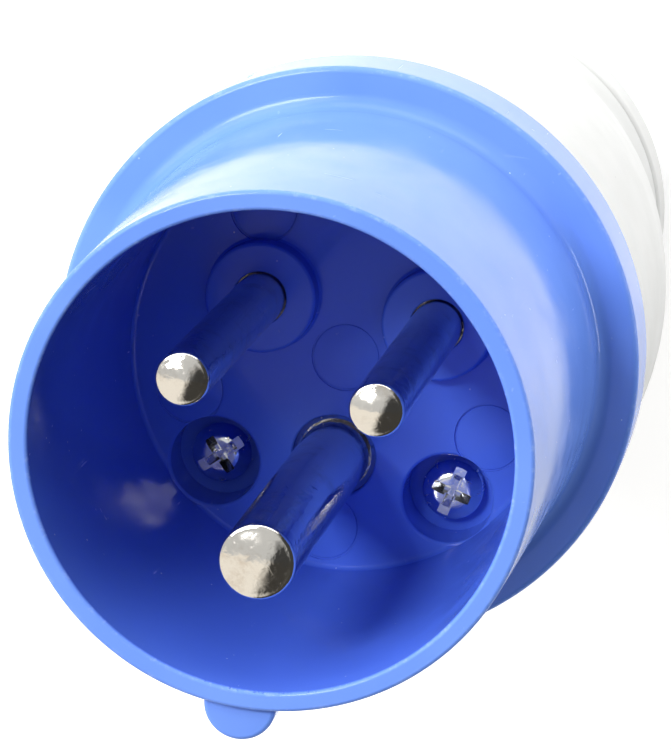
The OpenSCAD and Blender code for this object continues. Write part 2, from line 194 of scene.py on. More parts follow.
def block(size: tuple[float, float, float], taper: float = 1.0) -> Shell:
    """Box about the origin in x and y, from z = 0 down to -height, its foot scaled by taper.

    Args:
        size: Length along x, width along y and height.
        taper: Size of the foot over the size of the top.

    Returns:
        The closed box.
    """
    x, y, h = size[0] / 2, size[1] / 2, size[2]
    ring = np.array([[-x, -y], [x, -y], [x, y], [-x, y]])
    foot = np.column_stack([ring * taper, np.full(4, -h)])
    top = np.column_stack([ring, np.zeros(4)])
    faces = [[3, 2, 1, 0], [4, 5, 6, 7], [0, 1, 5, 4], [1, 2, 6, 5], [2, 3, 7, 6], [3, 0, 4, 7]]
    return Shell(np.concatenate([foot, top]), np.array(faces))


def gather(shells: list[Shell]) -> Shell:
    """Several shells as one, their faces renumbered by the points that come before."""
    starts = np.cumsum([0] + [len(s.points) for s in shells[:-1]])
    return Shell(np.concatenate([s.points for s in shells]),
                 np.concatenate([s.faces + n for s, n in zip(shells, starts)]))


def make(name: str, shell: Shell) -> bpy.types.Object:
    """Object of a shell, in metres, with its doubled points merged at poles and seams.

    Args:
        name: The object's name.
        shell: The shell in millimetres.

    Returns:
        The object, at the origin and in the scene.
    """
    mesh = bpy.data.meshes.new(name)
    mesh.from_pydata(shell.points * MM, [], shell.faces)
    work = bmesh.new()
    work.from_mesh(mesh)
    bmesh.ops.remove_doubles(work, verts=work.verts, dist=1e-8)
    bmesh.ops.dissolve_degenerate(work, edges=work.edges, dist=1e-8)
    work.to_mesh(mesh)
    work.free()
    made = bpy.data.objects.new(name, mesh)
    bpy.context.scene.collection.objects.link(made)
    return made


def work_in(body: bpy.types.Object, tool: Shell | bpy.types.Object, how: Cut, crossing: bool = False) -> None:
    """Join a closed shell to a body, or take it away, and keep the result as the body's mesh.

    Args:
        body: The object that is worked.
        tool: The closed shell in millimetres, or an object, which is used up.
        how: Whether it is joined or taken away.
        crossing: Whether the tool's own parts cross each other.
    """
    cutter = make("tool", tool) if isinstance(tool, Shell) else tool
    step = body.modifiers.new("work", "BOOLEAN")
    step.operation, step.solver, step.object = how.value, "EXACT", cutter
    step.use_self = crossing
    graph = bpy.context.evaluated_depsgraph_get()
    result = bpy.data.meshes.new_from_object(body.evaluated_get(graph))
    body.modifiers.remove(step)
    body.data = result
    bpy.data.objects.remove(cutter)


def smooth(piece: bpy.types.Object, angle: float = 32.0) -> None:
    """Shade smooth up to an angle between faces, with the wide faces holding their own slope.

    Args:
        piece: The object to shade.
        angle: Degrees between two faces past which their edge stays sharp.
    """
    piece.data.shade_smooth()
    piece.data.set_sharp_from_angle(angle=radians(angle))
    weight = piece.modifiers.new("slope", "WEIGHTED_NORMAL")
    weight.keep_sharp = True
    weight.weight = 60


def finish_piece(piece: bpy.types.Object, body: str, slot: Slot, material: bpy.types.Material,
                 *nodes: str) -> bpy.types.Object:
    """Give a new piece its body and finish, and let it stand for its CAD nodes.

    Args:
        piece: The piece.
        body: The CAD body it moves with.
        slot: The record's slot of its finish; not used.
        material: The finish.
        *nodes: The CAD nodes that it replaces.

    Returns:
        The piece.
    """
    piece.data.materials.clear()
    piece.data.materials.append(material)
    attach(piece, body)
    if nodes:
        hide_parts(*nodes)
    log.info("%s: %d faces, rides on %s", piece.name, len(piece.data.polygons), body)
    return piece


def dress_node(node: str, material: bpy.types.Material) -> bpy.types.Object:
    """Put a finish on a CAD node that is shown as it is."""
    piece = frame["nodes"][node]
    piece.data.materials.clear()
    piece.data.materials.append(material)
    log.info("%s: packed solid, %s", node, material.name)
    return piece


def merged_copy(node: str, name: str, angle: float = 32.0) -> bpy.types.Object:
    """Copy of a CAD node with its loose triangles merged, so that it can be shaded smooth.

    Args:
        node: The CAD node.
        name: The copy's name.
        angle: Degrees between faces past which an edge stays sharp.

    Returns:
        The copy, at the origin and in the scene.
    """
    mesh = frame["nodes"][node].data.copy()
    work = bmesh.new()
    work.from_mesh(mesh)
    bmesh.ops.remove_doubles(work, verts=work.verts, dist=1e-6)
    work.to_mesh(mesh)
    work.free()
    for attribute in ("custom_normal",):
        if attribute in mesh.attributes:
            mesh.attributes.remove(mesh.attributes[attribute])
    made = bpy.data.objects.new(name, mesh)
    bpy.context.scene.collection.objects.link(made)
    smooth(made, angle)
    return made


# ---------------------------------------------------------------- finishes


class Graph:
    """Node tree of one finish, with short methods that add a node and return its output."""

    def __init__(self, name: str) -> None:
        """Start a material with an empty tree and one surface shader."""
        self.material = bpy.data.materials.new(name)
        self.material.use_nodes = True
        self.tree = self.material.node_tree
        self.tree.nodes.clear()
        self.shader = self.tree.nodes.new("ShaderNodeBsdfPrincipled")
        out = self.tree.nodes.new("ShaderNodeOutputMaterial")
        self.tree.links.new(self.shader.outputs["BSDF"], out.inputs["Surface"])
        self.place = self.tree.nodes.new("ShaderNodeTexCoord").outputs["Object"]

    def node(self, kind: str, **inputs: object) -> bpy.types.Node:
        """Add a node; each input is a plain value or another node's output.

        Args:
            kind: The node's type after "ShaderNode".
            **inputs: Values by input name, with _ for a space.

        Returns:
            The node.
        """
        made = self.tree.nodes.new("ShaderNode" + kind)
        for key, value in inputs.items():
            self.put(made.inputs[key.replace("_", " ")], value)
        return made

    def put(self, socket: Socket, value: object) -> None:
        """Link an output to a socket, or write a plain value on it."""
        if isinstance(value, bpy.types.NodeSocket):
            self.tree.links.new(value, socket)
        elif isinstance(value, tuple) and len(value) == 3 and len(socket.default_value) == 4:
            socket.default_value = (*value, 1.0)
        else:
            socket.default_value = value

    def surface(self, **inputs: object) -> None:
        """Write or link the surface shader's own sockets."""
        for key, value in inputs.items():
            self.put(self.shader.inputs[key.replace("_", " ")], value)

    def stretched(self, x: float, y: float, z: float, turn_deg: Colour = (0, 0, 0)) -> Socket:
        """Object coordinates, scaled along each axis, for a pattern with a grain."""
        spin = tuple(radians(a) for a in turn_deg)
        return self.node("Mapping", Vector=self.place, Scale=(x, y, z), Rotation=spin).outputs[0]

    def noise(self, size: float, detail: float = 3.0, rough: float = 0.5,
              bend: float = 0.0, place: Socket | None = None) -> Socket:
        """Cloudy pattern between 0 and 1.

        Args:
            size: Width of its largest features, in millimetres.
            detail: Number of finer layers.
            rough: How strong the finer layers are.
            bend: How far the pattern is drawn out of shape.
            place: Coordinates other than the object's own.

        Returns:
            The pattern's output.
        """
        made = self.node("TexNoise", Vector=place or self.place, Scale=1000.0 / size,
                         Detail=detail, Roughness=rough, Distortion=bend)
        return made.outputs[0]

    def cells(self, size: float, place: Socket | None = None) -> Socket:
        """Distance to the nearest of scattered points that lie about a size apart, as a share of it."""
        made = self.node("TexVoronoi", Vector=place or self.place, Scale=1000.0 / size)
        return made.outputs["Distance"]

    def ramp(self, factor: Socket, low: float, high: float, at_low: float = 0.0,
             at_high: float = 1.0, soft: bool = True) -> Socket:
        """Carry a value from one span to another, clipped at both ends.

        Args:
            factor: The value.
            low: Where the first span starts.
            high: Where the first span ends.
            at_low: Result at its start.
            at_high: Result at its end.
            soft: Whether it eases in and out.

        Returns:
            The result's output.
        """
        made = self.node("MapRange")
        made.interpolation_type = "SMOOTHSTEP" if soft else "LINEAR"
        for key, value in (("Value", factor), ("From Min", low), ("From Max", high),
                           ("To Min", at_low), ("To Max", at_high)):
            self.put(made.inputs[key], value)
        return made.outputs[0]

    def maths(self, operation: str, first: object, second: object = 0.0) -> Socket:
        """One arithmetic step on one or two values."""
        made = self.node("Math")
        made.operation = operation
        self.put(made.inputs[0], first)
        self.put(made.inputs[1], second)
        return made.outputs[0]

    def tint(self, factor: object, first: object, second: object, mode: str = "MIX") -> Socket:
        """Colour between two colours, or one laid over the other by a mode."""
        made = self.node("Mix")
        made.data_type, made.blend_type = "RGBA", mode
        self.put(made.inputs[0], factor)
        self.put(made.inputs[6], first)
        self.put(made.inputs[7], second)
        return made.outputs[2]

    def bump(self, height: Socket, depth: float, under: Socket | None = None) -> Socket:
        """Surface slope from a height pattern.

        Args:
            height: The pattern, 0 to 1.
            depth: Height of 1, in millimetres.
            under: A slope that this one lies on.

        Returns:
            The slope's output.
        """
        made = self.node("Bump", Strength=1.0, Distance=depth * MM, Height=height)
        if under is not None:
            self.put(made.inputs["Normal"], under)
        return made.outputs[0]

    def reach(self) -> tuple[Socket, Socket]:
        """Distance from the upright axis, and height, both in metres."""
        axes = self.node("SeparateXYZ", Vector=self.place)
        squares = self.maths("ADD", self.maths("MULTIPLY", axes.outputs[0], axes.outputs[0]),
                             self.maths("MULTIPLY", axes.outputs[1], axes.outputs[1]))
        return self.maths("SQRT", squares), axes.outputs[2]

    def near_ring(self, radius: float, height: float, width: float) -> Socket:
        """1 on a circle about the axis and 0 beyond a width from it.

        Args:
            radius: The circle's radius, in millimetres.
            height: Its height, in millimetres.
            width: Where the value reaches 0, in millimetres.

        Returns:
            The value's output.
        """
        r, z = self.reach()
        dr, dz = self.maths("SUBTRACT", r, radius * MM), self.maths("SUBTRACT", z, height * MM)
        away = self.maths("SQRT", self.maths("ADD", self.maths("MULTIPLY", dr, dr),
                                             self.maths("MULTIPLY", dz, dz)))
        return self.ramp(away, 0.0, width * MM, 1.0, 0.0)


@dataclass(frozen=True)
class BlueGloss:
    """Glossy injection-moulded blue, with specks, fine scratches, scuffed edges that carry a painted highlight, and
    painted shade inside the bore.
    """

    deep: Colour = (0.135, 0.270, 0.800)
    bright: Colour = (0.165, 0.310, 0.860)
    # Painted shade: a deeper blue laid on the bore's inside, where the cavity lies in shade.
    painted_cavity_shade: Colour = (0.075, 0.165, 0.740)
    sheen: float = 0.2
    bore_r: float = 21.8
    # Pale colour of the specks and scratches, and of the painted highlight on the rim's and flange's edges.
    chalk_and_edge_highlight: Colour = (0.60, 0.74, 0.95)
    gloss: float = 0.09
    dull: float = 0.24
    edges: tuple[tuple[float, float], ...] = ((23.45, 137.9), (21.85, 137.9), (28.6, 98.1), (28.6, 89.7))

    def material(self) -> bpy.types.Material:
        """Build the finish."""
        g = Graph("blue_moulding")
        cloud = g.noise(22.0, 3.0, 0.55)
        base = g.tint(g.ramp(cloud, 0.3, 0.7), self.deep, self.bright)
        # Painted shade: inside the bore's radius the base turns a deeper blue, standing in for the cavity's shade.
        inside = g.ramp(g.reach()[0], (self.bore_r - 0.1) * MM, (self.bore_r + 0.1) * MM, 1.0, 0.0)
        base = g.tint(inside, base, self.painted_cavity_shade)
        speck = g.ramp(g.cells(1.9), 0.035, 0.055, 1.0, 0.0)
        few = g.ramp(g.noise(5.0, 2.0), 0.52, 0.62)
        speck = g.maths("MULTIPLY", speck, few)
        long = g.noise(1.0, 2.0, 0.6, 0.3, g.stretched(1.0, 1.0, 0.05, (8, 5, 0)))
        cross = g.noise(1.1, 2.0, 0.6, 0.4, g.stretched(0.06, 1.0, 1.0, (0, 20, 35)))
        lines = g.maths("MAXIMUM", g.ramp(long, 0.70, 0.76), g.ramp(cross, 0.71, 0.77))
        lines = g.maths("MULTIPLY", lines, g.ramp(g.noise(9.0, 2.0), 0.45, 0.65))
        # Rubbed edges: pale chalk on thin rings at the rim's and flange's edges, part wear and part painted highlight.
        edge = None
        for radius, height in self.edges:
            ring = g.near_ring(radius, height, 0.45)
            edge = ring if edge is None else g.maths("MAXIMUM", edge, ring)
        rub_and_highlight = g.maths("MULTIPLY", edge, g.ramp(g.noise(0.9, 6.0, 0.7), 0.48, 0.72))
        pale = g.maths("MAXIMUM", g.maths("MULTIPLY", speck, 0.8), g.maths("MULTIPLY", lines, 0.16))
        pale = g.maths("MAXIMUM", pale, g.maths("MULTIPLY", rub_and_highlight, 0.22))
        g.surface(Base_Color=g.tint(pale, base, self.chalk_and_edge_highlight), IOR=1.47, Specular_IOR_Level=self.sheen)
        haze = g.ramp(g.noise(7.0, 5.0, 0.6), 0.35, 0.75, self.gloss, self.dull)
        g.surface(Roughness=g.ramp(g.maths("MAXIMUM", lines, rub_and_highlight), 0.0, 1.0, haze, 0.5, False))
        skin = g.bump(g.noise(1.6, 2.0, 0.5), 0.006)
        g.surface(Normal=g.bump(g.maths("MAXIMUM", lines, speck), -0.012, skin))
        return g.material


@dataclass(frozen=True)
class GreySatin:
    """Light grey satin moulding with a fine grain."""

    base: Colour = (0.68, 0.685, 0.672)
    soiled: Colour = (0.62, 0.625, 0.605)
    rough: float = 0.42

    def material(self) -> bpy.types.Material:
        """Build the finish."""
        g = Graph("grey_moulding")
        smudge = g.ramp(g.noise(14.0, 5.0, 0.6), 0.52, 0.78, 0.0, 0.6)
        base = g.tint(smudge, self.base, self.soiled)
        speck = g.ramp(g.cells(2.6), 0.03, 0.05, 0.5, 0.0)
        g.surface(Base_Color=g.tint(speck, base, (0.36, 0.37, 0.38)), IOR=1.5)
        g.surface(Roughness=g.ramp(g.noise(5.0, 4.0), 0.3, 0.7, self.rough - 0.06, self.rough + 0.08))
        grain = g.bump(g.noise(0.35, 2.0, 0.6), 0.006)
        g.surface(Normal=g.bump(g.noise(6.0, 2.0), 0.015, grain))
        return g.material


@dataclass(frozen=True)
class Plating:
    """Bright plating on turned metal, with dents, hairlines and tarnish."""

    name: str
    base: Colour
    tarnish: Colour
    smooth: float
    worn: float
    dent: float
    dent_size: float

    def material(self) -> bpy.types.Material:
        """Build the finish."""
        g = Graph(self.name)
        stain = g.ramp(g.noise(3.2, 5.0, 0.65), 0.5, 0.75, 0.0, 0.7)
        g.surface(Base_Color=g.tint(stain, self.base, self.tarnish), Metallic=1.0)
        hair = g.noise(0.6, 2.0, 0.6, 0.2, g.stretched(1.0, 1.0, 0.03))
        lines = g.ramp(hair, 0.62, 0.72)
        haze = g.ramp(g.noise(1.8, 4.0, 0.6), 0.35, 0.7, self.smooth, self.worn)
        g.surface(Roughness=g.ramp(lines, 0.0, 1.0, haze, self.worn + 0.06, False))
        dents = g.bump(g.noise(self.dent_size, 2.0, 0.45, 0.4), self.dent)
        g.surface(Normal=g.bump(hair, 0.0025, dents))
        return g.material


@dataclass(frozen=True)
class SoftRubber:
    """Black rubber with a dusty bloom."""

    base: Colour = (0.020, 0.020, 0.022)
    bloom: Colour = (0.075, 0.073, 0.070)

    def material(self) -> bpy.types.Material:
        """Build the finish."""
        g = Graph("seal_rubber")
        dust = g.ramp(g.noise(2.6, 5.0, 0.65), 0.45, 0.8)
        g.surface(Base_Color=g.tint(dust, self.base, self.bloom), IOR=1.5)
        g.surface(Roughness=g.ramp(g.noise(1.2, 3.0), 0.3, 0.7, 0.55, 0.78))
        g.surface(Normal=g.bump(g.noise(0.5, 3.0, 0.6), 0.02))
        return g.material


@dataclass(frozen=True)
class PlainMoulding:
    """Hidden mouldings: a base colour, faint flow marks and a light grain."""

    name: str
    base: Colour
    flow: Colour
    rough: float

    def material(self) -> bpy.types.Material:
        """Build the finish."""
        g = Graph(self.name)
        drift = g.ramp(g.noise(8.0, 3.0, 0.6, 1.2), 0.35, 0.7)
        g.surface(Base_Color=g.tint(drift, self.base, self.flow), IOR=1.5)
        g.surface(Roughness=g.ramp(g.noise(2.5, 4.0), 0.3, 0.7, self.rough - 0.06, self.rough + 0.06))
        g.surface(Normal=g.bump(g.noise(0.6, 2.0), 0.008))
        return g.material


class Finishes:
    """Every finish of the plug, each built once."""

    def __init__(self) -> None:
        """Build the materials by slot."""
        nickel = Plating("pin_plating", (0.86, 0.82, 0.75), (0.60, 0.50, 0.40), 0.08, 0.20, 0.045, 1.0)
        zinc = Plating("zinc_screw", (0.94, 0.95, 0.96), (0.74, 0.76, 0.80), 0.10, 0.24, 0.012, 0.8)
        brass = Plating("leaf_brass", (0.80, 0.60, 0.27), (0.50, 0.34, 0.15), 0.22, 0.40, 0.01, 1.2)
        dark = PlainMoulding("terminal_moulding", (0.018, 0.020, 0.023), (0.035, 0.037, 0.041), 0.42)
        natural = PlainMoulding("clamp_moulding", (0.80, 0.78, 0.70), (0.72, 0.69, 0.60), 0.38)
        made = (BlueGloss(), GreySatin(), nickel, zinc, dark, natural, SoftRubber(), brass)
        self.by_slot = {slot: finish.material() for slot, finish in zip(Slot, made)}

    def of(self, slot: Slot) -> bpy.types.Material:
        """The material of a slot."""
        return self.by_slot[slot]


# ---------------------------------------------------------------- the plug's pieces


@dataclass(frozen=True)
class Places:
    """Where pins and screws stand, in millimetres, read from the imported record."""

    line: tuple[float, float]
    neutral: tuple[float, float]
    earth: tuple[float, float]
    screws: tuple[tuple[float, float], ...]

    @classmethod
    def read(cls) -> "Places":
        """Pins from their mounts, screws from the middles of their nodes."""
        at = {m["name"]: m["pos_m"] for m in frame["record"]["mounts"]}
        pins = [tuple(1000 * v for v in at[n + "_contact"][:2]) for n in ("line", "neutral", "earth")]
        spots = []
        for node in ("housing_screw_left", "housing_screw_right"):
            low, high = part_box(node)
            spots.append((500 * (low.x + high.x), 500 * (low.y + high.y)))
        return cls(*pins, tuple(spots))


@dataclass(frozen=True)
class Heights:
    """Levels of the plug, in millimetres above its foot."""

    floor: float = 97.2
    under_floor: float = 94.4
    boss: float = 99.7
    flange_top: float = 98.2
    flange_foot: float = 89.6
    head: float = 94.6
    seat: float = 92.2
    block_foot: float = 76.0
    barrel_foot: float = 62.0
    clamp: float = 67.0


@dataclass(frozen=True)
class FrontMoulding:
    """Blue moulding: shroud, key, flange, floor with bosses, wells and ejector marks, and spigot."""

    places: Places
    heights: Heights
    rim_r: float = 23.55
    mouth_r: float = 21.75
    floor_r: float = 21.45
    root_r: float = 24.7
    flange_r: float = 28.7
    spigot_r: float = 24.5
    spigot_bore_r: float = 22.5
    spigot_foot: float = 84.0
    key_r: float = 3.3
    key_top: float = 137.0
    boss_r: float = 5.45
    well_r: float = 4.45
    well_wall_r: float = 5.85
    mark_r: float = 3.4
    earth_hole_r: float = 4.1
    earth_guide_r: float = 3.62
    earth_step: float = 1.0
    marks: tuple[tuple[float, float], ...] = ((0, 0), (17.3, 270), (16, 201), (16, 339), (16.6, 126), (16.6, 54))

    def profile(self) -> np.ndarray:
        """Outline from the axis under the floor, round spigot, flange and rim, to the floor's middle."""
        h, rim = self.heights, 1000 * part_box("front_housing")[1].z
        return rounded([
            (0, h.under_floor, 0), (self.spigot_bore_r, h.under_floor, 0.5),
            (self.spigot_bore_r, self.spigot_foot, 0.3), (self.spigot_r, self.spigot_foot, 0.3),
            (self.spigot_r, h.flange_foot, 0.2), (self.flange_r, h.flange_foot, 0.6),
            (self.flange_r, h.flange_top, 0.6), (self.root_r, h.flange_top, 1.6),
            (self.rim_r, rim, 0.4), (self.mouth_r, rim, 0.4), (self.floor_r, h.floor, 0.5),
            (0, h.floor, 0)], 9.0)

    def key(self) -> bpy.types.Object:
        """Round-backed key rib: a turned rod that stands in the shroud's wall, clear of its bore."""
        rod = turn(rounded([(0, self.heights.flange_foot + 2, 0), (self.key_r, self.heights.flange_foot + 2, 0),
                            (self.key_r, self.key_top, 0.45), (0, self.key_top, 0)]), 96)
        piece = make("key", rod.moved(0, -self.rim_r))
        within = (self.mouth_r + self.rim_r) / 2
        work_in(piece, turn(np.array([[0, 80.0], [within, 80.0], [within, 150.0], [0, 150.0]]), 96), Cut.TAKE)
        return piece

    def additions(self) -> Shell:
        """Bosses with rounded tops and fillets, well walls, and the boss behind the middle."""
        h = self.heights
        boss = turn(rounded([(0, h.floor - 1, 0), (self.boss_r + 0.3, h.floor - 1, 0),
                             (self.boss_r + 0.3, h.floor - 0.05, 0), (self.boss_r, h.floor + 0.25, 0.2),
                             (self.boss_r, h.boss, 0.35), (0, h.boss, 0)]), 128)
        wall = turn(rounded([(0, h.flange_foot + 0.1, 0), (self.well_wall_r, h.flange_foot + 0.1, 0.2),
                             (self.well_wall_r, h.floor - 1.4, 0), (0, h.floor - 1.4, 0)]), 96)
        hub = turn(rounded([(0, h.under_floor - 4, 0), (3.3, h.under_floor - 4, 0.2),
                            (3.3, h.under_floor + 1, 0), (0, h.under_floor + 1, 0)]), 64)
        return gather([boss.moved(*self.places.line), boss.moved(*self.places.neutral), hub]
                      + [wall.moved(*s) for s in self.places.screws])

    def drill(self, radius: float, foot: float, face: float, lip: float) -> Shell:
        """Cutter for a round hole that opens at a face with a rounded lip.

        The lip flares by 1 - cos(a) of its radius outwards as it climbs by sin(a), so that the
        face runs into the hole without an edge.

        Args:
            radius: The hole's radius.
            foot: The cutter's lower end.
            face: Height of the face that it opens.
            lip: Radius of the lip.

        Returns:
            The closed cutter.
        """
        a = np.linspace(0, 0.96 * pi / 2, 7)
        flare = np.column_stack([radius + lip * (1 - np.cos(a)), face - lip + lip * np.sin(a)])
        ends = np.array([[flare[-1, 0], face + 1], [0, face + 1]])
        return turn(np.concatenate([[[0, foot], [radius, foot]], flare, ends]), 96)

    def holes(self) -> Shell:
        """Cutters for pin holes, screw wells with their shank holes, and the screw behind the middle."""
        h = self.heights
        pin = self.drill(2.6, h.under_floor - 1, h.boss, 0.15)
        earth = self.drill(self.earth_hole_r, h.floor - self.earth_step, h.floor, 0.25)
        guide = turn(np.array([[0, h.under_floor - 1], [self.earth_guide_r, h.under_floor - 1],
                               [self.earth_guide_r, h.floor - self.earth_step + 0.1],
                               [0, h.floor - self.earth_step + 0.1]]), 96)
        a = np.linspace(0, 0.96 * pi / 2, 7)
        lip = np.column_stack([self.well_r + 0.35 * (1 - np.cos(a)), h.floor - 0.35 + 0.35 * np.sin(a)])
        well = turn(np.concatenate([
            [[0, h.flange_foot - 1], [1.85, h.flange_foot - 1], [1.85, h.seat], [self.well_r, h.seat]],
            lip, [[lip[-1, 0], h.floor + 1], [0, h.floor + 1]]]), 96)
        back = turn(np.array([[0, h.under_floor - 5], [1.6, h.under_floor - 5],
                              [1.6, h.under_floor + 0.8], [0, h.under_floor + 0.8]], float), 48)
        return gather([pin.moved(*self.places.line), pin.moved(*self.places.neutral),
                       earth.moved(*self.places.earth), guide.moved(*self.places.earth), back] + [well.moved(*s) for s in self.places.screws])

    def mark_cutters(self) -> Shell:
        """Cutters for the shallow round marks, each with a deeper line at its edge."""
        floor, r = self.heights.floor, self.mark_r
        mark = turn(np.array([[0, floor - 0.07], [r - 0.5, floor - 0.10], [r - 0.22, floor - 0.12],
                              [r - 0.16, floor - 0.22], [r - 0.02, floor - 0.22], [r + 0.03, floor + 0.4],
                              [0, floor + 0.4]]), 96)
        return gather([mark.moved(reach * cos(radians(a)), reach * sin(radians(a))) for reach, a in self.marks])

    def build(self, material: bpy.types.Material) -> bpy.types.Object:
        """Turn the shell, work the rest into it and dress it.

        Args:
            material: Its finish.

        Returns:
            The moulding.
        """
        piece = make("front_moulding", turn(self.profile()))
        work_in(piece, self.key(), Cut.JOIN)
        work_in(piece, self.additions(), Cut.JOIN)
        work_in(piece, self.holes(), Cut.TAKE, True)
        work_in(piece, self.mark_cutters(), Cut.TAKE)
        smooth(piece)
        return finish_piece(piece, "plug", Slot.BLUE, material, "front_housing")


@dataclass(frozen=True)
class RimFlash:
    """Ragged line of flash that the mould's parting left on the mouth's inner edge."""

    mouth_r: float = 21.9
    rim: float = 138.0
    width: float = 0.16
    start: float = -103.0
    end: float = -66.0
    steps: int = 260

    def build(self, material: bpy.types.Material) -> bpy.types.Object:
        """Carry a small round section along the edge and dress it.

        At the share u of the way the section's radius is the width times sin(pi u)^0.3 times
        0.55 + 0.45 sin(61 u) sin(173 u), and its centre swings by 0.07 sin(37 u) mm.
        """
        u = np.linspace(0, 1, self.steps)[:, None]
        a = 2 * pi * np.arange(8)[None, :] / 8
        size = self.width * np.sin(pi * u) ** 0.3 * (0.55 + 0.45 * np.sin(61 * u) * np.sin(173 * u))
        t = np.radians(self.start + (self.end - self.start) * u)
        r = self.mouth_r + 0.07 * np.sin(37 * u) + size * np.cos(a)
        z = self.rim - self.width * 1.3 + size * np.sin(a)
        points = np.stack([r * np.cos(t), r * np.sin(t), z], axis=-1).reshape(-1, 3)
        piece = make("rim_flash", Shell(points, grid_faces(self.steps, 8, False, True)[:, ::-1]))
        smooth(piece, 70)
        return finish_piece(piece, "plug", Slot.BLUE, material)


@dataclass(frozen=True)
class NeckThread:
    """Round-crested thread on the handle's neck, under the gland nut."""

    root_r: float = 17.9
    crest_r: float = 18.2
    pitch: float = 3.0
    foot: float = 6.5
    turns: float = 3.6
    width: float = 1.5
    steps: int = 700

    def build(self, material: bpy.types.Material) -> bpy.types.Object:
        """Carry a flat-footed ridge along a helix that fades in and out, and dress it.

        At the turn t the ridge stands at foot + pitch t, and its rise over the root is
        the crest's share of min(1, 4 t, 4 (turns - t)).
        """
        t = np.linspace(0, self.turns, self.steps)[:, None]
        across = np.array([-0.5, -0.28, -0.12, 0.12, 0.28, 0.5, 0.3, -0.3])[None, :]
        rise = np.array([0, 0.55, 1, 1, 0.55, 0, -0.6, -0.6])[None, :]
        fade = np.clip(np.minimum(4 * t, 4 * (self.turns - t)), 0, 1)
        r = self.root_r + rise * (self.crest_r - self.root_r) * fade
        z = self.foot + self.pitch * t + across * self.width * fade
        points = np.stack([r * np.cos(2 * pi * t), r * np.sin(2 * pi * t), z], axis=-1).reshape(-1, 3)
        piece = make("neck_thread", Shell(points, grid_faces(self.steps, 8, False, True)))
        smooth(piece, 50)
        return finish_piece(piece, "plug", Slot.GREY, material)


@dataclass(frozen=True)
class ContactPin:
    """Turned and plated pin with a domed tip, a collar, a stem and a bored terminal barrel."""

    node: str
    at: tuple[float, float]
    radius: float
    root: float
    heights: Heights
    relief: float = 0.25
    tip_round: float = 0.5
    tip_dome: float = 0.5
    stem_r: float = 3.3
    collar_r: float = 4.3
    collar_h: float = 1.5
    barrel_r: float = 4.4
    bore_r: float = 2.2
    bore_l: float = 11.0

    def profile(self) -> np.ndarray:
        """Outline from the bore's end, round the barrel's foot and up to the tip's crown.

        The crown is a ball cap of rise d over the radius e: its ball has the radius
        (e^2 + d^2) / 2 d.
        """
        h, tip = self.heights, 1000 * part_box(self.node)[1].z
        e, d, q = self.radius - self.tip_round, self.tip_dome, self.tip_round
        lower = rounded([
            (0, h.barrel_foot + self.bore_l + 0.8, 0), (self.bore_r, h.barrel_foot + self.bore_l, 0),
            (self.bore_r, h.barrel_foot, 0.2), (self.barrel_r, h.barrel_foot, 0.3),
            (self.barrel_r, h.block_foot, 0.3), (self.stem_r, h.block_foot, 0),
            (self.stem_r, h.under_floor - self.collar_h, 0), (self.collar_r, h.under_floor - self.collar_h, 0.1),
            (self.collar_r, h.under_floor, 0.1), (self.radius - self.relief, h.under_floor, 0),
            (self.radius - self.relief, self.root, 0), (self.radius, self.root, 0)])
        a = np.radians(np.linspace(0, 76, 12))
        edge = np.column_stack([e + q * np.cos(a), tip - d - q + q * np.sin(a)])
        ball = (e * e + d * d) / (2 * d)
        b = np.arcsin(e / ball) * np.linspace(1, 0, 12)
        crown = np.column_stack([ball * np.sin(b), tip - ball * (1 - np.cos(b))])
        shaft = np.column_stack([np.full(5, self.radius), np.linspace(self.root + 1, tip - d - q - 1, 5)])
        return np.concatenate([lower, shaft, edge, crown])

    def build(self, material: bpy.types.Material) -> bpy.types.Object:
        """Turn the pin, drill it for its clamping screw and dress it."""
        shell = turn(self.profile(), 128)
        piece = make(self.node + "_turned", shell.moved(*self.at))
        away = np.array(self.at) / np.hypot(*self.at)
        hole = turn(np.array([[0, 0], [1.85, 0], [1.85, 8], [0, 8]], float), 48)
        across = hole.points[:, [2, 1, 0]] * np.array([1, 1, 1])
        c, s = away
        spun = across @ np.array([[c, s, 0], [-s, c, 0], [0, 0, 1]])
        work_in(piece, Shell(spun + np.array([*self.at, self.heights.clamp]), hole.faces[:, ::-1]), Cut.TAKE)
        smooth(piece)
        return finish_piece(piece, "plug", Slot.PLATING, material, self.node)


